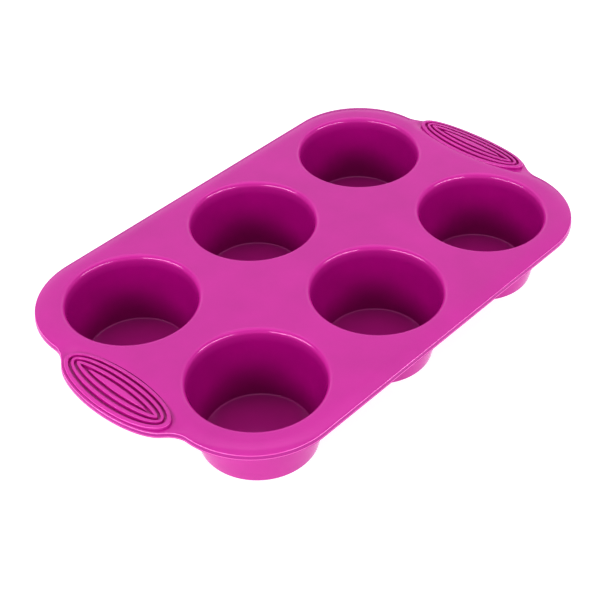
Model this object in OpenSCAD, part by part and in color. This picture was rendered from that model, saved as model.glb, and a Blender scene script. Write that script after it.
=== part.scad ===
// Six-cup silicone muffin mould: a thin deck with two rows of three tapered cups,
// a border that rolls down all round, and a ribbed oval grip on a tab at each end.
// The mould is one moulding. Its sections are modelled one by one and meet face to face.
// The origin is on the surface it stands on, under the middle of the deck. +X runs
// along the three cups and +Z is up.

/* [Tray] */
// Height of the deck's top above the cup bottoms
tray_h = 40; // [32:0.5:50]
// Thickness of the deck
deck_t = 2.6; // [2:0.1:3.2]
// Half of the tray's width, over the rolled border
half_w = 92.4; // [92.2:0.1:100]
// Half of the tray's length, over the rolled border and without the handles
half_l = 138.5; // [138.5:0.1:144]
// Radius of the plan corners at the edge
corner_r = 45; // [44:0.5:46]

/* [Border] */
// Width of the border that rolls down
roll_w = 9.4; // [8:0.1:9.5]
// Radius of the roll
roll_r = 27; // [20:1:60]
// Height of the band at the edge
edge_t = 2.9; // [2.7:0.1:3.6]
// Rounding of the band's upper corner
edge_round = 0.8; // [0.3:0.1:1]

/* [Cups] */
// Distance between neighbouring cups
cup_pitch = 89.3; // [86:0.1:89.5]
// Radius of a cup where its wall runs out at the deck
mouth_r = 34.9; // [34.6:0.1:35]
// Radius of the flat floor where the wall would meet it
floor_r = 27.9; // [24:0.1:30]
// Thickness of a cup's floor
floor_t = 2; // [1.5:0.1:3]
// Outer radius of a cup where it stands
foot_r = 30.3; // [26:0.1:32]
// Rounding of a cup's lip into the deck
lip_round = 3; // [2.6:0.1:3.1]
// Rounding inside the bottom corner
floor_round = 1; // [0.5:0.1:2]
// Rounding outside the bottom corner
foot_round = 1.6; // [0.5:0.1:3]
// Outer radius of a cup just under the deck
neck_r = 37.2; // [36:0.1:37.3]

/* [Handles] */
// Distance from the middle of the tray to the middle of a grip
grip_x = 139.1; // [139:0.1:142]
// Reach of a tab beyond the middle of its grip
tab_a = 13.6; // [13.2:0.1:15]
// Half-length of the tab's oval edge
tab_b = 38.6; // [37.8:0.1:40]
// Downward slope of a tab, as a fall per unit of length
tab_slope = 0.105; // [0.05:0.005:0.15]
// Radius of the grip's crowned top
crown_r = 48; // [44:1:60]
// Height of the crown above the deck
crown_rise = 0.45; // [0.3:0.05:0.8]
// Depth of the grooves between the ribs
groove_depth = 1.3; // [0.8:0.1:1.5]

/* [Hidden] */
$fn = 96;
ROWS = ["front", "back"];
COLUMNS = ["left", "middle", "right"];
SIDES = ["left", "right"];
RINGS = ["outer", "middle", "inner"];
CUPS = [for (row = ROWS, column = COLUMNS) str(row, "_", column)];

DECK_PINK = "#D43FA6";
EDGE_PINK = "#E04FB4";
GRIP_PINK = "#E455BC";
CUP_PINK = "#A8107A";
FLOOR_PINK = "#8E1468";

// Flat part of the deck, and the centres of its corner arcs.
flat_w = half_w - roll_w;
flat_l = half_l - roll_w;
flat_corner_r = corner_r - roll_w;
corner_x = half_l - corner_r;
corner_y = half_w - corner_r;

// Hole in the deck for a cup: the rounded lip ends just inside it.
lip_land = 0.55;
wall_lean = atan((mouth_r - floor_r) / (tray_h - floor_t));
cup_hole_r = mouth_r + lip_round * tan((90 - wall_lean) / 2) + lip_land;

// The flat deck bows inwards between the end cups, to make room for the handle.
bow_depth = 7.6;
bow_half = 44;

// Half-widths and half-lengths of the grip's ovals, from the outside in, and how
// pointed each is: 0.5 is an ellipse and 1 is a lens with two sharp tips.
OVAL_PAD = [12.2, 36.3, 0.5];
OVAL_EYE = [1.6, 22, 0.9];
RING_OVALS = [
    [OVAL_PAD, [9.8, 33.5, 0.5]],
    [[8.55, 32.2, 0.5], [6.45, 30.3, 0.55]],
    [[5.1, 28.9, 0.6], [3.1, 26.3, 0.85]]
];
oval_steps = 56;

// Where the crown's axis lies, and where the tab's top would meet the deck's level.
crown_x = 135;
slope_x = 123;
slope_blend = 8;

// Stations along a handle: the neck's curve from the tray's end to the oval edge.
neck_end_y = 36;
neck_steps = 6;
tab_steps = 9;
handle_fade_y = 34;
roll_steps = 6;

// ---- rules ----

function unit(v) = v / norm(v);

function smooth(t) = let (s = min(1, max(0, t))) s * s * (3 - 2 * s);

// Points of an arc of radius r that rounds the corner b between a and c.
function rounded(a, b, c, r, steps = 5) =
    let (
        u = unit(a - b),
        v = unit(c - b),
        half = acos(u * v) / 2,
        start = b + u * r / tan(half),
        finish = b + v * r / tan(half),
        centre = b + unit(u + v) * r / sin(half),
        from = atan2(start.y - centre.y, start.x - centre.x),
        to = atan2(finish.y - centre.y, finish.x - centre.x),
        sweep = (to - from + 540) % 360 - 180
    )
    [for (i = [0 : steps]) centre + r * [cos(from + sweep * i / steps), sin(from + sweep * i / steps)]];

// An oval of half-width a and half-length b about a grip's middle.
function oval(shape) = [
    for (i = [0 : oval_steps - 1])
        let (t = 360 * i / oval_steps)
        [grip_x + sign(cos(t)) * shape[0] * pow(pow(cos(t), 2), shape[2]), shape[1] * sin(t)]
];

// How far the border has fallen at a distance q out from the flat deck.
function roll_drop(q) = roll_r - sqrt(pow(roll_r, 2) - pow(max(0, q), 2));

// Outline of the border in section: [distance out from the flat deck, height].
function border_section(steps = roll_steps) =
    let (
        shoulder = roll_w - edge_round,
        top = [for (i = [0 : steps]) let (q = shoulder * i / steps) [q, -roll_drop(q)]],
        round_z = -roll_drop(shoulder) - edge_round,
        nose = [for (a = [60 : -30 : 0]) [shoulder + edge_round * cos(a), round_z + edge_round * sin(a)]],
        under = [for (i = [0 : steps]) let (q = roll_w * (1 - i / steps)) [q, -roll_drop(q) - band(q / roll_w)]]
    )
    concat(top, nose, under);

// Thickness of the border: it grows from the deck's to the edge band's.
function band(share) = deck_t + (edge_t - deck_t) * share;

// Where the flat deck ends towards a handle.
function deck_end(y) =
    abs(y) < bow_half ? flat_l - bow_depth * pow(1 - pow(y / bow_half, 2), 2) : flat_l;

// Outer edge of a handle as [x, y], from the tray's end (first) to the tab's tip (last).
function tab_x(y) = grip_x + tab_a * sqrt(1 - pow(y / tab_b, 2));
function bezier(p, t) =
    pow(1 - t, 3) * p[0] + 3 * pow(1 - t, 2) * t * p[1] + 3 * (1 - t) * t * t * p[2] + pow(t, 3) * p[3];
neck_start = [half_l, corner_y];
neck_finish = [tab_x(neck_end_y), neck_end_y];
tab_heading = unit([tab_a * neck_end_y / pow(tab_b, 2) / sqrt(1 - pow(neck_end_y / tab_b, 2)), -1]);
NECK = [neck_start, neck_start + [0, -4.4], neck_finish - 4 * tab_heading, neck_finish];
HALF_EDGE = concat(
    [for (i = [0 : neck_steps - 1]) bezier(NECK, i / neck_steps)],
    [for (i = [0 : tab_steps]) let (y = neck_end_y * cos(90 * i / tab_steps)) [tab_x(y), y]]
);
HANDLE_EDGE = concat(
    HALF_EDGE,
    [for (i = [len(HALF_EDGE) - 2 : -1 : 0]) [HALF_EDGE[i].x, -HALF_EDGE[i].y]]
);

// Height of a handle's top below the deck, at a distance q out from the flat deck.
function handle_drop(q, width, x, y) =
    let (
        share = smooth((corner_y - abs(y)) / (corner_y - handle_fade_y)),
        rolled = roll_drop(q - (width - roll_w)),
        sloped = tab_slope * (x - slope_x) * smooth(q / slope_blend)
    )
    share * sloped + (1 - share) * rolled;

// One station of a handle as a closed loop of points.
function handle_loop(edge) =
    let (
        inner = deck_end(edge.y),
        width = edge.x - inner,
        shoulder = width - edge_round,
        reach = [for (i = [0 : roll_steps]) i / roll_steps],
        drops = [for (s = reach) handle_drop(s * shoulder, width, inner + s * shoulder, edge.y)],
        edge_drop = handle_drop(width, width, edge.x, edge.y),
        round_z = -drops[roll_steps] - edge_round
    )
    concat(
        [for (i = [0 : roll_steps]) [inner + reach[i] * shoulder, edge.y, -drops[i]]],
        [for (a = [60 : -30 : 0])
            [inner + shoulder + edge_round * cos(a), edge.y, round_z + edge_round * sin(a)]],
        [for (i = [0 : roll_steps])
            let (
                q = width * (1 - i / roll_steps),
                drop = i == 0 ? edge_drop : handle_drop(q, width, inner + q, edge.y)
            )
            [inner + q, edge.y, -drop - band(q / width)]]
    );

// ---- shapes shared by several sub-parts ----

// A closed skin over a row of loops that all have the same number of points.
module skin(loops) {
    n = len(loops[0]);
    last = len(loops) - 1;
    sides = [
        for (k = [0 : last - 1], i = [0 : n - 1])
            let (a = k * n + i, b = k * n + (i + 1) % n)
            each [[a, b, b + n], [a, b + n, a + n]]
    ];
    first_cap = [[for (i = [n - 1 : -1 : 0]) i]];
    last_cap = [[for (i = [0 : n - 1]) last * n + i]];
    polyhedron([for (loop = loops) each loop], concat(sides, first_cap, last_cap), convexity = 6);
}

// The right-hand copy is drawn as it is, and the left-hand one is its mirror image.
module on_side(side) {
    if (side == "left") mirror([1, 0, 0]) children();
    else children();
}

// The front copy is the mirror image of the back one.
module on_row(row) {
    if (row == "front") mirror([0, 1, 0]) children();
    else children();
}

module at_cup(cup) {
    i = search([cup], CUPS)[0];
    translate([(i % 3 - 1) * cup_pitch, (floor(i / 3) - 0.5) * cup_pitch, 0]) children();
}

// Flat plan of the deck without its cup holes.
module deck_plan() {
    square([2 * corner_x, 2 * flat_w], center = true);
    square([2 * flat_l, 2 * corner_y], center = true);
    for (x = [-corner_x, corner_x], y = [-corner_y, corner_y])
        translate([x, y]) circle(r = flat_corner_r);
}

// The area between the bowed end of the deck and a straight line beyond it.
module bow_plan() {
    polygon(concat(
        [for (p = HANDLE_EDGE) [deck_end(p.y), p.y]],
        [[half_l, -corner_y], [half_l, corner_y]]
    ));
}

module border_arc() {
    rotate_extrude(angle = 90) translate([flat_corner_r, 0]) polygon(border_section());
}

// A column over an oval, tall enough to pass through the whole handle.
module oval_column(shape) {
    translate([0, 0, tray_h - 12]) linear_extrude(height = 16) polygon(oval(shape));
}

// A cylinder whose side is the crown, or the groove floor when it is sunk.
module crown(sunk) {
    translate([crown_x, 0, tray_h + crown_rise - crown_r])
        rotate([90, 0, 0]) cylinder(r = crown_r - sunk, h = 4 * tab_b, center = true, $fn = 180);
}

// The part of a column that stands between the groove floor and the crown.
module raised() {
    intersection() {
        children();
        difference() {
            crown(0);
            crown(groove_depth);
        }
    }
}

// ---- sub-parts ----

module deck() {
    color(DECK_PINK)
        translate([0, 0, tray_h - deck_t]) linear_extrude(height = deck_t)
            difference() {
                deck_plan();
                for (side = SIDES) on_side(side) bow_plan();
                for (cup = CUPS) at_cup(cup) circle(r = cup_hole_r, $fn = 180);
            }
}

// Half of the border: one long side and the two corners that it runs into.
module rim(row) {
    color(EDGE_PINK) on_row(row) translate([0, 0, tray_h]) {
        translate([-corner_x, flat_w, 0]) rotate([90, 0, 90])
            linear_extrude(height = 2 * corner_x) polygon(border_section());
        for (side = SIDES) on_side(side) translate([corner_x, corner_y, 0]) border_arc();
    }
}

module handle_tab(side) {
    color(DECK_PINK) on_side(side) difference() {
        translate([0, 0, tray_h]) skin([for (p = HANDLE_EDGE) handle_loop(p)]);
        oval_column(OVAL_PAD);
    }
}

// The grip's body fills the oval opening of its tab. Its top is the groove floor.
module grip_pad(side) {
    color(CUP_PINK) on_side(side) difference() {
        intersection() {
            oval_column(OVAL_PAD);
            crown(groove_depth);
        }
        translate([slope_x, 0, tray_h - deck_t]) rotate([0, atan(tab_slope), 0])
            translate([-20, -tab_b, -20]) cube([80, 2 * tab_b, 20]);
    }
}

// Each ring is a rib that stands on the grip's body, around the next one.
module grip_ring(side, ring) {
    ovals = RING_OVALS[search([ring], RINGS)[0]];
    color(GRIP_PINK) on_side(side) raised() difference() {
        oval_column(ovals[0]);
        oval_column(ovals[1]);
    }
}

module grip_eye(side) {
    color(GRIP_PINK) on_side(side) raised() oval_column(OVAL_EYE);
}

// Wall of a cup in section, from the floor's rim up the inside and down the outside.
function wall_section() =
    let (
        seat = [floor_r - 2 * floor_round, floor_t],
        corner = [floor_r, floor_t],
        mouth = [mouth_r, tray_h],
        land = [cup_hole_r, tray_h],
        under = [cup_hole_r, tray_h - deck_t],
        neck = [neck_r, tray_h - deck_t],
        foot = [foot_r, 0]
    )
    concat(
        [[seat.x, 0], seat],
        rounded(seat, corner, mouth, floor_round),
        rounded(corner, mouth, land, lip_round),
        [land, under, neck],
        rounded(neck, foot, [0, 0], foot_round)
    );

module cup_wall(cup) {
    color(CUP_PINK) at_cup(cup) rotate_extrude($fn = 180) polygon(wall_section());
}

module cup_floor(cup) {
    color(FLOOR_PINK) at_cup(cup) cylinder(r = floor_r - 2 * floor_round, h = floor_t, $fn = 180);
}

deck();
for (row = ROWS)
    rim(row);
for (side = SIDES)
    handle_tab(side);
for (side = SIDES)
    grip_pad(side);
for (ring = RINGS, side = SIDES)
    grip_ring(side, ring);
for (side = SIDES)
    grip_eye(side);
for (cup = CUPS)
    cup_wall(cup);
for (cup = CUPS)
    cup_floor(cup);
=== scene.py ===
"""Looks of the six-cup silicone muffin mould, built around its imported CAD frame.

Lengths in the shape rules are millimetres, as in the CAD source, and become metres
when a mesh is made. The rules repeat the CAD's, with finer steps and softer edges.
"""
import math

import bmesh
import bpy
import numpy as np
from mathutils import Matrix, Vector, geometry


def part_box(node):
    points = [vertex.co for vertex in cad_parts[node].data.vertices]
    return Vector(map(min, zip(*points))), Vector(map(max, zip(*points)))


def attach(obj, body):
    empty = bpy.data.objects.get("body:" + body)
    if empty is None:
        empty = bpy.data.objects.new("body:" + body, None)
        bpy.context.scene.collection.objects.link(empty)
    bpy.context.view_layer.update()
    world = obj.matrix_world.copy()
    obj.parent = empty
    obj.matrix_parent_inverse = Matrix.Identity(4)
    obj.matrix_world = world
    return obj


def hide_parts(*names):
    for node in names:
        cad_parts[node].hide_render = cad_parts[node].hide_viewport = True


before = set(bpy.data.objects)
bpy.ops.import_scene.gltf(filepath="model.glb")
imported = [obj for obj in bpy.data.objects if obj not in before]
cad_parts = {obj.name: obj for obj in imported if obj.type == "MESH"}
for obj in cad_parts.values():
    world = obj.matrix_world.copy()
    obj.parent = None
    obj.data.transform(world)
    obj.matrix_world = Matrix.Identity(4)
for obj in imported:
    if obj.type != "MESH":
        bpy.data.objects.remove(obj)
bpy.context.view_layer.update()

# ---- sizes, read from the frame ----


def box_mm(node):
    """A CAD node's lowest and highest corner in millimetres."""
    low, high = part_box(node)
    return np.array(low) * 1000, np.array(high) * 1000


DECK_LOW, DECK_HIGH = box_mm("deck")
RIM_LOW, RIM_HIGH = box_mm("rim_back")
TAB_LOW, TAB_HIGH = box_mm("handle_tab_right")
PAD_LOW, PAD_HIGH = box_mm("grip_pad_right")
EYE_LOW, EYE_HIGH = box_mm("grip_eye_right")
WALL_LOW, WALL_HIGH = box_mm("cup_wall_back_middle")
FLOOR_LOW, FLOOR_HIGH = box_mm("cup_floor_back_middle")

TOP = DECK_HIGH[2]
DECK_T = DECK_HIGH[2] - DECK_LOW[2]
HALF_L, HALF_W = RIM_HIGH[0], RIM_HIGH[1]
FLAT_L, FLAT_W = DECK_HIGH[0], DECK_HIGH[1]
ROLL_W = HALF_W - FLAT_W
CORNER_Y = RIM_LOW[1]
CORNER_R = HALF_W - CORNER_Y
CORNER_X = HALF_L - CORNER_R
PAD_X = (PAD_LOW[0] + PAD_HIGH[0]) / 2
PAD_A = (PAD_HIGH[0] - PAD_LOW[0]) / 2
PAD_B = PAD_HIGH[1]
CUP_HOLE_R = (WALL_HIGH[0] - WALL_LOW[0]) / 2
SEAT_R = (FLOOR_HIGH[0] - FLOOR_LOW[0]) / 2
FLOOR_T = FLOOR_HIGH[2]

# Shape values that the boxes can't tell, as in the CAD: the border's roll and edge band,
# the deck's bow and the tab's oval, the neck, the tab's slope, the grip's crown, the cups.
ROLL_R = 27.0
EDGE_T = 2.9
EDGE_ROUND = 0.8
BOW_DEPTH, BOW_HALF = FLAT_L - TAB_LOW[0], 44.0
TAB_A, TAB_B = TAB_HIGH[0] - PAD_X, 38.6
NECK_END_Y, NECK_LEAD_OUT, NECK_LEAD_IN = 36.0, 4.4, 4.0
SLOPE, SLOPE_X, SLOPE_BLEND, FADE_Y = 0.105, 123.0, 8.0, 34.0
CROWN_R, CROWN_X, CROWN_RISE, GROOVE = 48.0, 135.0, 0.45, 1.3
MOUTH_R, FLOOR_R, NECK_R, FOOT_R = 34.9, 27.9, 37.2, 30.3
LIP_ROUND, FLOOR_ROUND, FOOT_ROUND = 3.0, 1.0, 1.6

# Details that only these meshes have. BEAD holds (distance in, height) pairs at the foot of
# the edge band. The SINK values are how far ribs reach into the grip's body, and below a
# half-width of EYE_TAPER the middle ridge runs out into its tips. The body has a straight
# side, a ledge inset under the ribs, and PAD_MIDDLE is the size of its innermost ring.
BAND_INSET = 0.25
BEAD = ((0.25, 0.85), (0.19, 0.68), (0.07, 0.52), (0.0, 0.36), (0.02, 0.17), (0.12, 0.04), (0.3, 0.0))
RIB_ROUND, OUTER_ROUND, RIB_DRAFT = 0.35, 0.8, 0.15
GROOVE_FLOOR = GROOVE + 0.4
RIB_SINK, OUTER_SINK, EYE_SINK, EYE_TAPER = 0.02, 0.4, 0.1, 0.5
PAD_SIDE, PAD_LEDGE, PAD_INSET, PAD_MIDDLE = 0.7, 0.8, 0.4, 0.04
NECK_FILLET = 1.5

# How finely the meshes are cut. A seam is how far in a sheet's first row of points lies.
CORNER_STEPS, OVAL_STEPS, CUP_STEPS, NOSE_STEPS = 56, 168, 240, 7
ROLL_STEPS, SIDE_POINTS, EYE_POINTS, END_POINTS, FLOOR_RINGS = 18, 22, 61, 140, 14
DECK_SPACING, TAB_SPACING, SEAM, ROLL_SEAM = 5.0, 1.3, 0.05, 0.03
END_Y = np.linspace(CORNER_Y, -CORNER_Y, END_POINTS)

CUPS = ("front_left", "front_middle", "front_right", "back_left", "back_middle", "back_right")

# Each rib lies between two ovals of (half-width, half-length, point), as oval() takes them.
RING_OVALS = {
    "outer": ((PAD_A, PAD_B, 0.5), (9.8, 33.5, 0.5)),
    "middle": ((8.55, 32.2, 0.5), (6.45, 30.3, 0.55)),
    "inner": ((5.1, 28.9, 0.6), (3.1, 26.3, 0.85)),
}
EYE_OVAL = ((EYE_HIGH[0] - EYE_LOW[0]) / 2, EYE_HIGH[1], 0.9)

# ---- shape rules ----


def smooth(t):
    """0 to 1 with a soft start and a soft end."""
    s = np.clip(t, 0.0, 1.0)
    return s * s * (3 - 2 * s)


def roll_drop(q):
    """How far the border has fallen at a distance q out from the flat deck."""
    return ROLL_R - math.sqrt(ROLL_R**2 - max(0.0, q) ** 2)


def band(share):
    """Thickness of the border, from the deck's to the edge band's."""
    return DECK_T + (EDGE_T - DECK_T) * min(1.0, max(0.0, share))


def deck_end(y):
    """Where the flat deck ends towards a handle."""
    if abs(y) >= BOW_HALF:
        return FLAT_L
    return FLAT_L - BOW_DEPTH * (1 - (y / BOW_HALF) ** 2) ** 2


def tab_x(y):
    """Outer end of the right tab's oval at y."""
    return PAD_X + TAB_A * math.sqrt(1 - (y / TAB_B) ** 2)


def unit(v):
    """A vector of the same direction and a length of 1."""
    v = np.asarray(v, float)
    return v / np.linalg.norm(v)


def bezier(p, t):
    """A point of the curve with the four control points p."""
    return (1 - t) ** 3 * p[0] + 3 * (1 - t) ** 2 * t * p[1] + 3 * (1 - t) * t * t * p[2] + t**3 * p[3]


def handle_edge(neck_steps=28, tab_steps=60):
    """Outer edge of the right handle, from its back neck round the tip to its front neck."""
    start = np.array([HALF_L, CORNER_Y])
    finish = np.array([tab_x(NECK_END_Y), NECK_END_Y])
    lean = TAB_A * NECK_END_Y / TAB_B**2 / math.sqrt(1 - (NECK_END_Y / TAB_B) ** 2)
    heading = unit([lean, -1])
    pull = [start, start + np.array([0, -NECK_LEAD_OUT]), finish - NECK_LEAD_IN * heading, finish]
    neck = [bezier(pull, i / neck_steps) for i in range(neck_steps)]
    turns = [NECK_END_Y * math.cos(math.pi / 2 * i / tab_steps) for i in range(tab_steps + 1)]
    half = neck + [np.array([tab_x(y), y]) for y in turns]
    return np.array(half + [p * (1, -1) for p in half[-2::-1]])


HANDLE_EDGE = handle_edge()
EDGE_Y, EDGE_X = HANDLE_EDGE[::-1, 1], HANDLE_EDGE[::-1, 0]


def handle_top(x, y):
    """Height of a right handle's top, with the deck's top at 0."""
    y = min(CORNER_Y, max(-CORNER_Y, y))
    inner = deck_end(y)
    width = float(np.interp(y, EDGE_Y, EDGE_X)) - inner
    q = x - inner
    share = float(smooth((CORNER_Y - abs(y)) / (CORNER_Y - FADE_Y)))
    sloped = SLOPE * (x - SLOPE_X) * float(smooth(q / SLOPE_BLEND))
    return -(share * sloped + (1 - share) * roll_drop(q - (width - ROLL_W)))


def handle_under(x, y):
    """Height of a right handle's underside, with the deck's top at 0."""
    inner = deck_end(y)
    width = float(np.interp(y, EDGE_Y, EDGE_X)) - inner
    return handle_top(x, y) - band((x - inner) / width)


def crown_z(x, sunk=0.0):
    """Height of a grip's crowned top, or of its groove floor when sunk."""
    r = CROWN_R - sunk
    return CROWN_RISE - CROWN_R + np.sqrt(r * r - (np.asarray(x) - CROWN_X) ** 2)


def oval(shape, steps):
    """Points of an oval round a grip's middle: 0.5 is an ellipse and 1 a pointed lens."""
    a, b, point = shape
    t = np.linspace(0, 2 * math.pi, steps, endpoint=False)
    c, s = np.cos(t), np.sin(t)
    return np.stack([PAD_X + np.sign(c) * a * (c * c) ** point, b * s], axis=1)


def rounded(a, b, c, r, steps):
    """Points of an arc of radius r that rounds the corner b between a and c."""
    a, b, c = (np.asarray(p, float) for p in (a, b, c))
    u, v = unit(a - b), unit(c - b)
    half = math.acos(float(u @ v)) / 2
    centre = b + unit(u + v) * r / math.sin(half)
    start, finish = b + u * r / math.tan(half) - centre, b + v * r / math.tan(half) - centre
    a0, a1 = math.atan2(start[1], start[0]), math.atan2(finish[1], finish[0])
    sweep = (a1 - a0 + 3 * math.pi) % (2 * math.pi) - math.pi
    turns = [a0 + sweep * i / steps for i in range(steps + 1)]
    return [centre + r * np.array([math.cos(a), math.sin(a)]) for a in turns]


# ---- meshes ----

# Angles in degrees from which on an edge is shaded sharp.
FACE_SHARP, EDGE_SHARP, RIB_SHARP = 38, 50, 70


def make_piece(name, points, faces, material, node, slot, sharp=FACE_SHARP):
    """A mesh piece from points in millimetres that stands for one CAD node."""
    mesh = bpy.data.meshes.new(name)
    mesh.from_pydata([tuple(p) for p in np.asarray(points, float) / 1000], [], faces)
    shell = bmesh.new()
    shell.from_mesh(mesh)
    bmesh.ops.recalc_face_normals(shell, faces=shell.faces)
    shell.to_mesh(mesh)
    shell.free()
    mesh.polygons.foreach_set("use_smooth", [True] * len(mesh.polygons))
    mesh.set_sharp_from_angle(angle=math.radians(sharp))
    mesh.materials.append(material)
    piece = bpy.data.objects.new(name, mesh)
    bpy.context.scene.collection.objects.link(piece)
    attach(piece, "root")
    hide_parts(node)
    return piece


def mirrored(points, faces, axis):
    """The mirror image of a mesh, with its faces turned so that they still point out."""
    points = np.array(points, float)
    points[:, axis] *= -1
    return points, [tuple(reversed(f)) for f in faces]


def strips(rows, closed_rows=False, closed_columns=False):
    """Quads between consecutive rows of points, all rows of one length."""
    n = len(rows[0])
    last_row = len(rows) if closed_rows else len(rows) - 1
    last_column = n if closed_columns else n - 1
    faces = []
    for k in range(last_row):
        a, b = k * n, (k + 1) % len(rows) * n
        for i in range(last_column):
            j = (i + 1) % n
            faces.append((a + i, a + j, b + j, b + i))
    return faces


def in_plan(points, loops):
    """Which points lie inside the first loop and outside the others."""
    inside = inside_loop(points, loops[0])
    for loop in loops[1:]:
        inside &= ~inside_loop(points, loop)
    return inside


def fill_plan(loops, spacing, extra=()):
    """Triangles over the area inside the first loop and outside the others, seen from above.

    Returns the points, of which the loops' own come first and in order, and the faces.
    """
    rim_points = np.concatenate(loops)
    low, high = loops[0].min(0), loops[0].max(0)
    xs = np.arange(low[0] + spacing / 2, high[0], spacing)
    ys = np.arange(low[1] + spacing / 2, high[1], spacing)
    grid = np.array([(x, y) for x in xs for y in ys])
    grid = grid[in_plan(grid, loops)]
    fixed = np.concatenate([rim_points, extra]) if len(extra) else rim_points
    gaps = np.array([np.min(np.sum((fixed - p) ** 2, axis=1)) for p in grid])
    grid = grid[gaps > (spacing * 0.45) ** 2]
    points = np.concatenate([fixed, grid])
    edges, start = [], 0
    for loop in loops:
        n = len(loop)
        edges += [(start + i, start + (i + 1) % n) for i in range(n)]
        start += n
    made = geometry.delaunay_2d_cdt([Vector(p) for p in points], edges, [], 0, 1e-6)
    place = [ids[0] for ids in made[3]]
    faces = np.array([[place[i] for i in face] for face in made[2]])
    faces = faces[in_plan(points[faces].mean(axis=1), loops)]
    return points, [tuple(int(i) for i in face) for face in faces]


def inside_loop(points, loop):
    """Which points lie inside a closed loop, by counting crossings."""
    x, y = points[:, 0], points[:, 1]
    result = np.zeros(len(points), bool)
    for (x0, y0), (x1, y1) in zip(loop, np.roll(loop, -1, axis=0)):
        crosses = (y0 > y) != (y1 > y)
        with np.errstate(divide="ignore", invalid="ignore"):
            at = x0 + (y - y0) * (x1 - x0) / (y1 - y0)
        result ^= crosses & (x < at)
    return result


def slab(loops, spacing, top, under):
    """A closed sheet over a plan: top and under give the heights at (x, y)."""
    flat, faces = fill_plan(loops, spacing)
    n = len(flat)
    points = [(x, y, top(x, y)) for x, y in flat] + [(x, y, under(x, y)) for x, y in flat]
    faces = faces + [tuple(n + i for i in reversed(f)) for f in faces]
    start = 0
    for loop in loops:
        m = len(loop)
        for i in range(m):
            a, b = start + i, start + (i + 1) % m
            faces.append((b, a, a + n, b + n))
        start += m
    return points, faces


# ---- the mould's sections ----


def edge_section(top, under):
    """The edge band in section, as (distance in from the edge, height) pairs.

    It runs from the shoulder, round the nose, down the band and over the small bead at
    its foot, to the point straight under the shoulder. top and under give the heights
    of the two faces at a distance in from the edge.
    """
    # The nose begins where its round meets the top, so it depends on the top's lean there.
    guess, step = BAND_INSET + 0.6 * EDGE_ROUND, 0.2
    lean = math.atan2(top(guess + step) - top(guess - step), 2 * step)
    shoulder = BAND_INSET + EDGE_ROUND * (1 - math.sin(lean))
    centre = (shoulder + EDGE_ROUND * math.sin(lean), top(shoulder) - EDGE_ROUND * math.cos(lean))
    turns = [(math.pi / 2 - lean) * (1 - i / NOSE_STEPS) for i in range(NOSE_STEPS + 1)]
    nose = [(centre[0] - EDGE_ROUND * math.cos(a), centre[1] + EDGE_ROUND * math.sin(a)) for a in turns]
    foot = under(0.0)
    return nose + [(s, foot + rise) for s, rise in BEAD] + [(shoulder, under(shoulder))]


def rim_edge():
    """The edge band of the rolled border, which is the same all along it."""
    def top(s):
        return -roll_drop(ROLL_W - s)

    def under(s):
        return top(s) - band(1 - s / ROLL_W)

    return edge_section(top, under)


# The border's edge, and the distances out from the flat deck at which its top has points.
RIM_EDGE = rim_edge()
RIM_SHOULDER = ROLL_W - RIM_EDGE[0][0]
ROLL_Q = [0.0, ROLL_SEAM] + [RIM_SHOULDER * i / ROLL_STEPS for i in range(1, ROLL_STEPS + 1)]


def rim_mesh():
    """Back half of the border: stations from the right handle round to the left one."""
    section = [(q, -roll_drop(q)) for q in ROLL_Q[:-1]]
    section += [(ROLL_W - s, z) for s, z in RIM_EDGE]
    section += [(q, -roll_drop(q) - band(q / ROLL_W)) for q in ROLL_Q[-2:0:-3]] + [(0.0, -DECK_T)]
    turns = [math.pi / 2 * i / CORNER_STEPS for i in range(CORNER_STEPS + 1)]
    right = [((CORNER_X, CORNER_Y), CORNER_R - ROLL_W, a) for a in turns]
    left = [((-CORNER_X, CORNER_Y), CORNER_R - ROLL_W, math.pi - a) for a in reversed(turns)]
    along = np.linspace(CORNER_X, -CORNER_X, SIDE_POINTS)[1:-1]
    straight = [((x, CORNER_Y), CORNER_R - ROLL_W, math.pi / 2) for x in along]
    rows = []
    for (cx, cy), r, a in right + straight + left:
        rows.append([(cx + (r + q) * math.cos(a), cy + (r + q) * math.sin(a), TOP + z)
                     for q, z in section])
    n = len(section)
    faces = strips(rows, closed_columns=True)
    faces += [tuple(range(n)), tuple((len(rows) - 1) * n + i for i in reversed(range(n)))]
    return [p for row in rows for p in row], faces


def corner_arc(sx, sy):
    """Plan points of a deck corner, anticlockwise."""
    turns = [math.pi / 2 * i / CORNER_STEPS for i in range(CORNER_STEPS + 1)]
    r = CORNER_R - ROLL_W
    arc = [(sx * (CORNER_X + r * math.cos(a)), sy * (CORNER_Y + r * math.sin(a))) for a in turns]
    return arc if sx * sy > 0 else arc[::-1]


def circle(centre, radius, steps):
    """Points of a circle in plan."""
    t = np.linspace(0, 2 * math.pi, steps, endpoint=False)
    return np.stack([centre[0] + radius * np.cos(t), centre[1] + radius * np.sin(t)], axis=1)


def cup_centre(cup):
    """A cup's middle in plan, from its wall's box."""
    low, high = box_mm("cup_wall_" + cup)
    return (low + high)[:2] / 2


def deck_mesh():
    """The flat deck: its outline runs in along both handles, and it has six round holes."""
    end = [(deck_end(y), y) for y in END_Y[1:-1]]
    outline = corner_arc(1, 1) + corner_arc(-1, 1)
    outline += [(-x, y) for x, y in end] + corner_arc(-1, -1) + corner_arc(1, -1)
    outline += [(x, y) for x, y in reversed(end)]
    loops = [np.array(outline)] + [circle(cup_centre(cup), CUP_HOLE_R, CUP_STEPS) for cup in CUPS]
    return slab(loops, DECK_SPACING, lambda x, y: TOP, lambda x, y: TOP - DECK_T)


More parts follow.
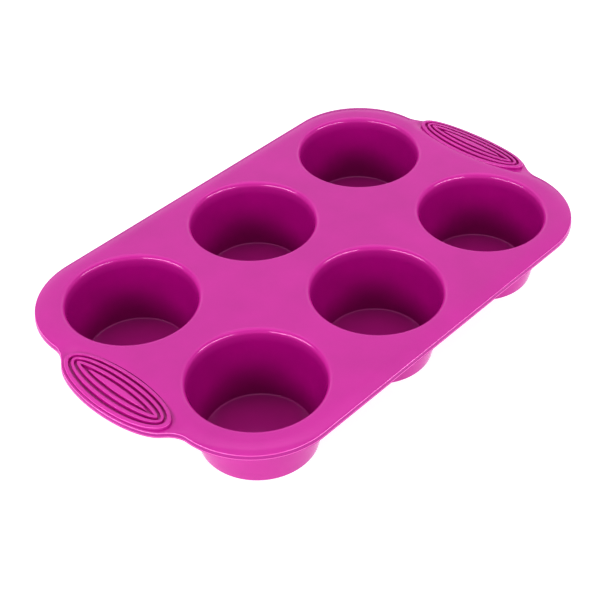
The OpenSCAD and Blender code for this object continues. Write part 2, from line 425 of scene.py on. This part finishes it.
def edge_normals(edge):
    """Outward unit normals in plan of an open outline that is walked clockwise."""
    along = np.gradient(edge, axis=0)
    normals = np.stack([-along[:, 1], along[:, 0]], axis=1)
    normals /= np.linalg.norm(normals, axis=1)[:, None]
    normals[0] = normals[-1] = (1.0, 0.0)
    return normals


def tab_sections():
    """The edge band's sections round the right handle, each from shoulder to underside."""
    sections = []
    for point, normal in zip(HANDLE_EDGE, edge_normals(HANDLE_EDGE)):
        def top(s, p=point, n=normal):
            return handle_top(p[0] - s * n[0], p[1] - s * n[1])

        def under(s, p=point, n=normal):
            return handle_under(p[0] - s * n[0], p[1] - s * n[1])

        sections.append([(point[0] - s * normal[0], point[1] - s * normal[1], TOP + z)
                         for s, z in edge_section(top, under)])
    return sections


def tab_band_faces(stations, inner, first, n, m):
    """Faces of the edge band, whose stations have inner points each, from point first on.

    The outline has m points and is stored backwards, so station k of the edge is point
    m - 1 - k of the top. The underside's points come n later than the top's.
    """
    faces = []
    for k in range(stations - 1):
        left = [m - 1 - k] + [first + k * inner + i for i in range(inner)] + [m - 1 - k + n]
        right = [m - 2 - k] + [first + (k + 1) * inner + i for i in range(inner)] + [m - 2 - k + n]
        faces += [(left[i], left[i + 1], right[i + 1], right[i]) for i in range(inner + 1)]
    return faces


def tab_end_faces(stations, inner, first, n, m, front, back):
    """Faces where the tab meets the two halves of the border and the deck.

    front and back are how many points the cuts towards the border have, and the other
    values are as in tab_band_faces.
    """
    last = m - stations
    bridge_front = [last - i for i in range(front + 2)]
    front_band = [first + (stations - 1) * inner + i for i in range(inner)]
    bridge_back = [m - 1] + list(range(back + 1))
    back_band = [first + i for i in range(inner)]
    faces = [tuple(reversed([i + n for i in bridge_front] + bridge_front[::-1] + front_band))]
    faces += [tuple([i + n for i in bridge_back] + bridge_back[::-1] + back_band)]
    faces += [(i + 1, i, i + n, i + 1 + n) for i in range(back, last - front - 1)]
    return faces


def tab_mesh():
    """The right tab: a sheet round the grip's opening, closed by its edge band."""
    sections = tab_sections()
    front_cut = [(FLAT_L + q, -CORNER_Y) for q in ROLL_Q[-2:0:-1]]
    back_cut = [(FLAT_L + q, CORNER_Y) for q in ROLL_Q[1:-1]]
    end = [(deck_end(y), y) for y in END_Y[::-1]]
    shoulders = [s[0][:2] for s in sections]
    outline = np.array(shoulders + front_cut + end + back_cut)[::-1]
    hole = oval(RING_OVALS["outer"][0], OVAL_STEPS)
    near = [(deck_end(y) + SEAM, y) for y in END_Y[2:-2]]
    near += [(x, y - math.copysign(SEAM, y)) for x, y in front_cut[1:-1] + back_cut[1:-1]]
    flat, faces = fill_plan([outline, hole], TAB_SPACING, near)
    n, m = len(flat), len(outline)
    points = [(x, y, TOP + handle_top(x, y)) for x, y in flat]
    points += [(x, y, TOP + handle_under(x, y)) for x, y in flat]
    faces = faces + [tuple(n + i for i in reversed(f)) for f in faces]
    for i in range(m, m + len(hole)):
        j = m + (i + 1 - m) % len(hole)
        faces.append((j, i, i + n, j + n))
    band_place = (len(sections), len(sections[0]) - 2, len(points), n, m)
    points += [p for section in sections for p in section[1:-1]]
    faces += tab_band_faces(*band_place)
    faces += tab_end_faces(*band_place, len(front_cut), len(back_cut))
    return points, faces


def quarter(steps=5):
    """A quarter turn's (distance from its start, height below its end) pairs, for a radius of 1."""
    turns = [math.pi / 2 * i / steps for i in range(steps + 1)]
    return [(1 - math.cos(a), 1 - math.sin(a)) for a in turns]


def ring_section(width, top, base, outer_base, outer_round):
    """A rib in section between its two ovals, as (distance in, height) pairs.

    top and base give the heights of its crest and of the groove floor at a distance in.
    """
    start, finish = RIB_DRAFT + outer_round, width - RIB_DRAFT - RIB_ROUND
    rise = [(RIB_DRAFT + outer_round * d, top(start) - outer_round * z) for d, z in quarter()]
    across = [start + (finish - start) * t for t in (0.08, 0.35, 0.65, 0.92)]
    crest = [(s, top(s)) for s in across]
    fall = [(width - RIB_DRAFT - RIB_ROUND * d, top(finish) - RIB_ROUND * z)
            for d, z in reversed(quarter())]
    return [(0.0, outer_base)] + rise + crest + fall + [(width, base(width))]


def ring_mesh(ring):
    """A right-hand rib, swept round between its outer and its inner oval."""
    outer, inner = (oval(shape, OVAL_STEPS) for shape in RING_OVALS[ring])
    rows = []
    for start, finish in zip(outer, inner):
        width = float(np.linalg.norm(finish - start))
        inward = (finish - start) / width

        def top(s, p=start, d=inward):
            return float(crown_z(p[0] + s * d[0]))

        def base(s, p=start, d=inward):
            return float(crown_z(p[0] + s * d[0], GROOVE_FLOOR)) - RIB_SINK

        foot, outer_round = base(0.0), RIB_ROUND
        if ring == "outer":
            foot = min(foot, handle_top(*start)) - OUTER_SINK
            outer_round = OUTER_ROUND
        section = ring_section(width, top, base, foot, outer_round)
        rows.append([(start[0] + s * inward[0], start[1] + s * inward[1], TOP + z) for s, z in section])
    return [p for row in rows for p in row], strips(rows, closed_rows=True, closed_columns=True)


def eye_mesh():
    """The right-hand middle ridge: a long narrow leaf that runs out to two tips."""
    a, b, point = EYE_OVAL
    turns = np.linspace(-math.pi / 2, math.pi / 2, EYE_POINTS)[1:-1]
    base = float(crown_z(PAD_X, GROOVE_FLOOR)) - EYE_SINK
    rows = []
    for t in turns:
        y, w = b * math.sin(t), a * (math.cos(t) ** 2) ** point
        r = min(RIB_ROUND, 0.8 * w)
        half = [(w - r * d, r * z) for d, z in quarter()] + [(0.5 * (w - r), 0.0)]
        across = half + [(0.0, 0.0)] + [(-x, z) for x, z in reversed(half)]
        share = min(1.0, w / EYE_TAPER)
        row = [(PAD_X + x, y, TOP + base + share * (float(crown_z(PAD_X + x)) - z - base))
               for x, z in across]
        row += [(PAD_X - w, y, TOP + base), (PAD_X + w, y, TOP + base)]
        rows.append(row)
    points = [p for row in rows for p in row]
    n, tips = len(rows[0]), len(points)
    points += [(PAD_X, -b, TOP + base), (PAD_X, b, TOP + base)]
    faces = strips(rows, closed_columns=True)
    last = (len(rows) - 1) * n
    for i in range(n):
        j = (i + 1) % n
        faces += [(i, tips, j), (last + j, tips + 1, last + i)]
    return points, faces


def pad_under(x):
    """Height of the grip's underside, which follows the tab's slope."""
    return TOP - DECK_T - SLOPE * (x - SLOPE_X)


def pad_mesh():
    """The right-hand grip's body: groove floors on top and the tab's slope underneath."""
    shape = RING_OVALS["outer"][0]

    def loop(share, inset=0.0):
        return oval((shape[0] * share - inset, shape[1] * share - inset, shape[2]), OVAL_STEPS)

    rows = []
    for share in np.linspace(PAD_MIDDLE, 1.0, 12):
        rows.append([(x, y, pad_under(x)) for x, y in loop(share)])
    rows.append([(x, y, pad_under(x) + PAD_SIDE) for x, y in loop(1.0)])
    rows.append([(x, y, pad_under(x) + PAD_LEDGE) for x, y in loop(1.0, PAD_INSET)])
    for share in np.linspace(1.0, PAD_MIDDLE, 30):
        plan = loop(share, PAD_INSET * share)
        rows.append([(x, y, TOP + float(crown_z(x, GROOVE_FLOOR))) for x, y in plan])
    n = len(rows[0])
    faces = strips(rows, closed_columns=True)
    last = (len(rows) - 1) * n
    faces += [tuple(range(n)), tuple(last + i for i in reversed(range(n)))]
    return [p for row in rows for p in row], faces


def revolved(section, centre, closed=True):
    """A section of (radius, height) pairs turned about an upright axis."""
    turns = np.linspace(0, 2 * math.pi, CUP_STEPS, endpoint=False)
    rows = []
    for a in turns:
        rows.append([(centre[0] + r * math.cos(a), centre[1] + r * math.sin(a), z) for r, z in section])
    return [p for row in rows for p in row], strips(rows, closed_rows=True, closed_columns=closed)


def between(a, b, steps):
    """Points from a to b, without b."""
    a, b = np.asarray(a, float), np.asarray(b, float)
    return [a + (b - a) * i / steps for i in range(steps)]


def wall_section():
    """Cup wall in section: up the inside, over the lip, and down the outside."""
    seat, corner = (SEAT_R, FLOOR_T), (FLOOR_R, FLOOR_T)
    mouth, land = (MOUTH_R, TOP), (CUP_HOLE_R, TOP)
    under, neck, foot = (CUP_HOLE_R, TOP - DECK_T), (NECK_R, TOP - DECK_T), (FOOT_R, 0)
    beyond = (2 * CUP_HOLE_R, TOP - DECK_T)  # gives only the direction of the deck's underside
    low = rounded(seat, corner, mouth, FLOOR_ROUND, 10)
    lip = rounded(corner, mouth, land, LIP_ROUND, 20)
    fillet = rounded(beyond, neck, foot, NECK_FILLET, 8)
    sole = rounded(neck, foot, (0, 0), FOOT_ROUND, 10)
    section = [(SEAT_R, 0), (SEAT_R, 0.5 * FLOOR_T), seat] + low[:-1] + between(low[-1], lip[0], 10)
    section += lip + [land, under] + fillet[:-1] + between(fillet[-1], sole[0], 10) + sole
    return section


def wall_mesh(cup):
    """A cup's wall with its lip and its foot, all round."""
    return revolved(wall_section(), cup_centre(cup))


def floor_mesh(cup):
    """The round floor: rings of faces on top and underneath, joined at the edge."""
    radii = np.linspace(1.0, SEAT_R, FLOOR_RINGS)
    section = [(r, FLOOR_T) for r in radii] + [(r, 0.0) for r in radii[::-1]]
    points, faces = revolved(section, cup_centre(cup), closed=False)
    n = len(section)
    faces += [tuple(k * n for k in range(CUP_STEPS)), tuple(k * n + n - 1 for k in range(CUP_STEPS))]
    return points, faces


# ---- materials ----

SILICONE_IOR, SILICONE_SHINE = 1.5, 0.7

# Looks are (colour, roughness) pairs: flat tops, the upright band darkened as painted shade, the ribs'
# crests, the grooves between them darkened as painted shade, and the inside of the cups darkened as
# painted shade.
TOP_LOOK = ((0.585, 0.031, 0.378), 0.13)
EDGE_PAINTED_SHADE = ((0.48, 0.017, 0.315), 0.18)
RIB_LOOK = ((0.62, 0.043, 0.405), 0.24)
GROOVE_PAINTED_SHADE = ((0.56, 0.012, 0.36), 0.35)
CUP_PAINTED_SHADE = ((0.455, 0.003, 0.285), 0.14)

# Lighter colours painted on roundings: painted highlights on the edges and the ribs, and painted light
# on the rounding of a cup's lip.
EDGE_PAINTED_HIGHLIGHT = (0.85, 0.20, 0.61)
LIP_PAINTED_LIGHT = (0.65, 0.044, 0.42)
RIB_PAINTED_HIGHLIGHT = (0.74, 0.10, 0.50)

# How far under the deck's top the painted shade inside a cup begins and is full, over what height below
# the first of these the painted light on the lip fades out, and how much of the painted shade a floor
# has.
LIP_FADE, LIP_LIGHT_FADE, FLOOR_SHARE = (2.0, 7.0), 1.0, 0.3

# Leans between which a blend runs. A lean is 1 on a face that looks straight up, 0 on an
# upright one and -1 on one that looks straight down.
UPRIGHT_LEANS, TOP_LEANS, INNER_LEANS = (0.75, 0.35), (0.2, 0.6), (-0.05, 0.05)
# The last three are the leans of the roundings that get painted highlights and painted light.
HIGHLIGHT_LOW_LEANS, HIGHLIGHT_HIGH_LEANS, LIP_LEANS = (0.25, 0.45), (0.85, 0.65), (1.0, 0.88)

# Cloudy colour, patchy gloss, soft waves and fine grain. Heights are metres, and WAVES,
# GRIP_WAVES and GRAIN are strengths.
CLOUD_SCALE, CLOUD_TONES = 38, (0.955, 1.035)
PATCH_SCALE, PATCH_RANGE = 160, (-0.02, 0.03)
WAVE_SCALE, WAVE_HEIGHT, WAVES, GRIP_WAVES = 60, 0.0012, 0.02, 0.01
GRAIN_SCALE, GRAIN_HEIGHT, GRAIN = 850, 0.00004, 0.05


def node(tree, kind, **settings):
    """A new shader node with the given settings."""
    made = tree.nodes.new(kind)
    for name, value in settings.items():
        setattr(made, name, value)
    return made


def noise(tree, place, scale, detail, roughness=0.5):
    """A noise value at a place."""
    made = node(tree, "ShaderNodeTexNoise")
    made.inputs["Scale"].default_value = scale
    made.inputs["Detail"].default_value = detail
    made.inputs["Roughness"].default_value = roughness
    tree.links.new(place, made.inputs["Vector"])
    return made.outputs["Fac"]


def spread(tree, value, low, high, source=(0.3, 0.7)):
    """A value moved from one range to another, by default from a noise's usual range."""
    made = node(tree, "ShaderNodeMapRange")
    made.inputs["From Min"].default_value, made.inputs["From Max"].default_value = source
    made.inputs["To Min"].default_value, made.inputs["To Max"].default_value = low, high
    tree.links.new(value, made.inputs["Value"])
    return made.outputs["Result"]


def blend_colours(tree, share, first, second):
    """A mix of two colours, each of them given or made by another node."""
    made = node(tree, "ShaderNodeMix", data_type="RGBA")
    tree.links.new(share, made.inputs["Factor"])
    for socket, colour in (("A", first), ("B", second)):
        place = next(s for s in made.inputs if s.name == socket and s.type == "RGBA")
        if isinstance(colour, tuple):
            place.default_value = colour + (1.0,)
        else:
            tree.links.new(colour, place)
    return next(s for s in made.outputs if s.type == "RGBA")


def bump(tree, height, strength, distance, normal=None):
    """A normal tilted by a height, on top of another bump if one is given."""
    made = node(tree, "ShaderNodeBump")
    made.inputs["Strength"].default_value = strength
    made.inputs["Distance"].default_value = distance
    tree.links.new(height, made.inputs["Height"])
    if normal:
        tree.links.new(normal, made.inputs["Normal"])
    return made.outputs["Normal"]


def arithmetic(tree, operation, first, second=None):
    """The result of a sum on one or two values."""
    made = node(tree, "ShaderNodeMath", operation=operation)
    tree.links.new(first, made.inputs[0])
    if second:
        tree.links.new(second, made.inputs[1])
    return made.outputs[0]


def height_part(tree, vector):
    """The upright part of a vector."""
    split = node(tree, "ShaderNodeSeparateXYZ")
    tree.links.new(vector, split.inputs[0])
    return split.outputs["Z"]


def lean_of_face(tree):
    """The upright part of a face's normal."""
    return height_part(tree, node(tree, "ShaderNodeNewGeometry").outputs["Normal"])


def height_on_piece(tree):
    """Height of a point of a piece in metres, which is also its height in the frame."""
    return height_part(tree, node(tree, "ShaderNodeTexCoord").outputs["Object"])


def uprightness(tree):
    """0 on a face that looks up or down, and 1 on one that is nearly upright."""
    return spread(tree, arithmetic(tree, "ABSOLUTE", lean_of_face(tree)), 0, 1, UPRIGHT_LEANS)


def facing_up(tree, leans=TOP_LEANS):
    """1 on a face that looks up, and 0 on one that looks down."""
    return spread(tree, lean_of_face(tree), 0, 1, leans)


def painted_cup_shade(tree):
    """1 where painted shade darkens a cup: on its inner wall, less on its floor, and 0 at the lip and
    outside.
    """
    fade = tuple((TOP - depth) / 1000 for depth in LIP_FADE)
    deep = spread(tree, height_on_piece(tree), 0, 1, fade)
    wall = spread(tree, uprightness(tree), FLOOR_SHARE, 1, (0, 1))
    inner = arithmetic(tree, "MULTIPLY", wall, facing_up(tree, INNER_LEANS))
    return arithmetic(tree, "MULTIPLY", deep, inner)


def painted_highlight_edges(tree):
    """1 where a face leans like the rounding of an edge, which gets a painted highlight."""
    lean = arithmetic(tree, "ABSOLUTE", lean_of_face(tree))
    low = spread(tree, lean, 0, 1, HIGHLIGHT_LOW_LEANS)
    high = spread(tree, lean, 0, 1, HIGHLIGHT_HIGH_LEANS)
    return arithmetic(tree, "MULTIPLY", low, high)


def painted_lip_light(tree):
    """1 on the rounding of a cup's lip, which gets painted light."""
    fade = tuple((TOP - LIP_FADE[0] - depth) / 1000 for depth in (LIP_LIGHT_FADE, 0.0))
    upper = spread(tree, height_on_piece(tree), 0, 1, fade)
    rounding = spread(tree, lean_of_face(tree), 0, 1, LIP_LEANS)
    inner = arithmetic(tree, "MULTIPLY", rounding, facing_up(tree, INNER_LEANS))
    return arithmetic(tree, "MULTIPLY", upper, inner)


def toned(colour, tone):
    """A colour made lighter or darker by a factor."""
    return tuple(c * tone for c in colour)


def silicone(name, main, shaded, share, painted_light, painted_light_share, waves):
    """Satin moulded silicone: cloudy colour, uneven gloss, fine grain and soft waves, with painted
    shade and painted light in its colour.

    main is the plain look and shaded a darker look of painted shade, which holds as far as the nodes
    that share builds. The colour after share is painted light, a painted highlight on roundings or
    painted light on a lip, and the function after it builds the nodes for how far that holds.
    """
    material = bpy.data.materials.new(name)
    material.use_nodes = True
    tree = material.node_tree
    shader = tree.nodes["Principled BSDF"]
    shader.inputs["IOR"].default_value = SILICONE_IOR
    shader.inputs["Specular IOR Level"].default_value = SILICONE_SHINE
    place = node(tree, "ShaderNodeTexCoord").outputs["Object"]
    # How far the painted shade holds, and cloudy colour in tones of the plain look and the
    # painted-shade look.
    painted_shade_part = share(tree)
    clouds = spread(tree, noise(tree, place, CLOUD_SCALE, 3), 0, 1)
    darker, lighter = (blend_colours(tree, painted_shade_part, toned(main[0], tone), toned(shaded[0], tone))
                       for tone in CLOUD_TONES)
    cloudy = blend_colours(tree, clouds, darker, lighter)
    # Painted highlights or painted light laid over the roundings.
    colour = blend_colours(tree, painted_light_share(tree), cloudy, painted_light)
    tree.links.new(colour, shader.inputs["Base Color"])
    gloss = spread(tree, painted_shade_part, main[1], shaded[1], (0, 1))
    patches = spread(tree, noise(tree, place, PATCH_SCALE, 4, 0.6), *PATCH_RANGE)
    tree.links.new(arithmetic(tree, "ADD", gloss, patches), shader.inputs["Roughness"])
    wavy = bump(tree, noise(tree, place, WAVE_SCALE, 2), waves, WAVE_HEIGHT)
    grainy = bump(tree, noise(tree, place, GRAIN_SCALE, 2), GRAIN, GRAIN_HEIGHT, wavy)
    tree.links.new(grainy, shader.inputs["Normal"])
    return material


# Each silicone darkens faces with painted shade (the deck's upright band, the rib walls and groove
# floors, the cups' insides) and lightens roundings with painted highlights on edges and ribs and
# painted light on the cups' lips.
DECK_SILICONE = silicone(
    "silicone_deck", TOP_LOOK, EDGE_PAINTED_SHADE, uprightness, EDGE_PAINTED_HIGHLIGHT, painted_highlight_edges, WAVES)
GRIP_SILICONE = silicone(
    "silicone_grip", RIB_LOOK, GROOVE_PAINTED_SHADE, uprightness, RIB_PAINTED_HIGHLIGHT, painted_highlight_edges, GRIP_WAVES)
GROOVE_SILICONE = silicone(
    "silicone_groove", TOP_LOOK, GROOVE_PAINTED_SHADE, facing_up, RIB_PAINTED_HIGHLIGHT, painted_highlight_edges, GRIP_WAVES)
CUP_SILICONE = silicone(
    "silicone_cup", TOP_LOOK, CUP_PAINTED_SHADE, painted_cup_shade, LIP_PAINTED_LIGHT, painted_lip_light, WAVES)

# ---- pieces ----


def add_pieces():
    """All 27 pieces, one for each CAD node."""
    make_piece("flat_deck", *deck_mesh(), DECK_SILICONE, "deck", "silicone_deck")
    rim = rim_mesh()
    add_rim("back", rim)
    add_rim("front", mirrored(*rim, 1))
    add_handle("right", lambda mesh: mesh)
    add_handle("left", lambda mesh: mirrored(*mesh, 0))
    for cup in CUPS:
        make_piece("wall_" + cup, *wall_mesh(cup), CUP_SILICONE, "cup_wall_" + cup, "silicone_cup")
        make_piece("floor_" + cup, *floor_mesh(cup), CUP_SILICONE, "cup_floor_" + cup, "silicone_cup")


def add_rim(side, mesh):
    """One half of the rolled border."""
    make_piece("edge_" + side, *mesh, DECK_SILICONE, "rim_" + side, "silicone_deck", EDGE_SHARP)


def add_handle(side, turned):
    """A handle's tab and grip. turned brings a right-hand mesh to this side."""
    make_piece("tab_" + side, *turned(tab_mesh()), DECK_SILICONE,
               "handle_tab_" + side, "silicone_deck", EDGE_SHARP)
    make_piece("pad_" + side, *turned(pad_mesh()), GROOVE_SILICONE,
               "grip_pad_" + side, "silicone_grip")
    for ring in RING_OVALS:
        make_piece("rib_" + ring + "_" + side, *turned(ring_mesh(ring)), GRIP_SILICONE,
                   "grip_ring_" + ring + "_" + side, "silicone_grip", RIB_SHARP)
    make_piece("eye_" + side, *turned(eye_mesh()), GRIP_SILICONE,
               "grip_eye_" + side, "silicone_grip", RIB_SHARP)


add_pieces()

# ---- table top, camera and light, in metres ----

# The table top lies a hair under the cups, and its own glow keeps it white.
TABLE_GAP, TABLE_GLOW, TABLE_TONES = 0.00003, 0.86, (0.34, 0.36)
TABLE_RADII, TABLE_STEPS = (0.2, 0.5, 1.0, 2.0, 4.0, 12.0), 96

# Camera: direction and roll in degrees, distance, x and y of the point it faces in the
# plane of the deck's top, and lens and sensor in their usual millimetres.
VIEW_TURN, VIEW_RISE, VIEW_ROLL, VIEW_DISTANCE = -46.43, 40.30, -1.37, 0.6855
VIEW_TARGET, LENS, SENSOR = (-0.03318, -0.02135), 80.44, 36.0

# Brightness of the surroundings, as (height of the direction, level) pairs.
SKY = ((0.0, 0.45), (1.0, 1.15), (0.25, 0.5), (0.5, 0.3), (0.75, 0.3))
BOX_DISTANCE = 1.2


def direction(turn, rise):
    """The direction to a place turn degrees round from the front and rise degrees up."""
    a, e = math.radians(turn), math.radians(rise)
    return Vector((math.sin(a) * math.cos(e), -math.cos(a) * math.cos(e), math.sin(e)))


def add_table():
    """A white round table top under the mould."""
    turns = np.linspace(0, 2 * math.pi, TABLE_STEPS, endpoint=False)
    points = [(0.0, 0.0, -TABLE_GAP)]
    points += [(r * math.cos(a), r * math.sin(a), -TABLE_GAP) for r in TABLE_RADII for a in turns]
    n = len(turns)
    faces = [(0, 1 + i, 1 + (i + 1) % n) for i in range(n)]
    for k in range(len(TABLE_RADII) - 1):
        for i in range(n):
            j = (i + 1) % n
            a, b = 1 + k * n, 1 + (k + 1) * n
            faces.append((a + i, b + i, b + j, a + j))
    mesh = bpy.data.meshes.new("table_top")
    mesh.from_pydata(points, [], faces)
    mesh.materials.append(table_white())
    floor = bpy.data.objects.new("table_top", mesh)
    bpy.context.scene.collection.objects.link(floor)


def table_white():
    """Matt, slightly cloudy white with a glow of its own."""
    material = bpy.data.materials.new("table_white")
    material.use_nodes = True
    tree = material.node_tree
    shader = tree.nodes["Principled BSDF"]
    place = node(tree, "ShaderNodeTexCoord").outputs["Object"]
    greys = ((tone, tone, tone) for tone in TABLE_TONES)
    cloudy = blend_colours(tree, noise(tree, place, 3, 2), *greys)
    tree.links.new(cloudy, shader.inputs["Base Color"])
    shader.inputs["Roughness"].default_value = 0.9
    shader.inputs["Specular IOR Level"].default_value = 0.1
    shader.inputs["Emission Color"].default_value = (1.0, 1.0, 1.0, 1.0)
    shader.inputs["Emission Strength"].default_value = TABLE_GLOW
    return material


def add_camera():
    """Seen from beyond the front left corner, from about 40 degrees up."""
    back, roll = direction(VIEW_TURN, VIEW_RISE), math.radians(VIEW_ROLL)
    right = Vector((0, 0, 1)).cross(back).normalized()
    up = back.cross(right)
    tilted = right * math.cos(roll) + up * math.sin(roll)
    upright = up * math.cos(roll) - right * math.sin(roll)
    data = bpy.data.cameras.new("camera")
    data.lens, data.sensor_width = LENS, SENSOR
    data.clip_start, data.clip_end = 0.01, 40.0
    camera = bpy.data.objects.new("camera", data)
    place = Vector((*VIEW_TARGET, TOP / 1000)) + back * VIEW_DISTANCE
    turned = Matrix((tilted, upright, back)).transposed().to_4x4()
    camera.matrix_world = Matrix.Translation(place) @ turned
    bpy.context.scene.collection.objects.link(camera)
    bpy.context.scene.camera = camera


def add_softbox(name, turn, rise, wide, high, power):
    """A large soft area light that faces the mould."""
    data = bpy.data.lights.new(name, "AREA")
    data.shape, data.size, data.size_y, data.energy = "RECTANGLE", wide, high, power
    lamp = bpy.data.objects.new(name, data)
    back = direction(turn, rise)
    right = Vector((0, 0, 1)).cross(back).normalized()
    turned = Matrix((right, back.cross(right), back)).transposed().to_4x4()
    lamp.matrix_world = Matrix.Translation(back * BOX_DISTANCE) @ turned
    bpy.context.scene.collection.objects.link(lamp)


def add_world():
    """White surroundings, brightest straight overhead and darkest halfway up."""
    world = bpy.data.worlds.new("studio")
    bpy.context.scene.world = world
    world.use_nodes = True
    tree = world.node_tree
    background = tree.nodes["Background"]
    height = height_part(tree, node(tree, "ShaderNodeTexCoord").outputs["Generated"])
    ramp = node(tree, "ShaderNodeValToRGB")
    ramp.color_ramp.interpolation = "EASE"
    stops = ramp.color_ramp.elements
    for k, (position, level) in enumerate(SKY):
        stop = stops[k] if k < 2 else stops.new(position)
        stop.position = position
        stop.color = (level, level, level, 1.0)
    tree.links.new(height, ramp.inputs[0])
    tree.links.new(ramp.outputs[0], background.inputs["Color"])
    background.inputs["Strength"].default_value = 1.0


add_table()
add_camera()
add_world()
add_softbox("softbox_left", turn=-99, rise=26, wide=1.32, high=0.26, power=9.0)
add_softbox("softbox_right", turn=12, rise=26, wide=1.20, high=0.26, power=7.0)
add_softbox("softbox_back", turn=134, rise=45, wide=2.3, high=1.6, power=9.8)
bpy.context.scene.view_settings.view_transform = "Standard"
bpy.context.scene.view_settings.gamma = 0.7
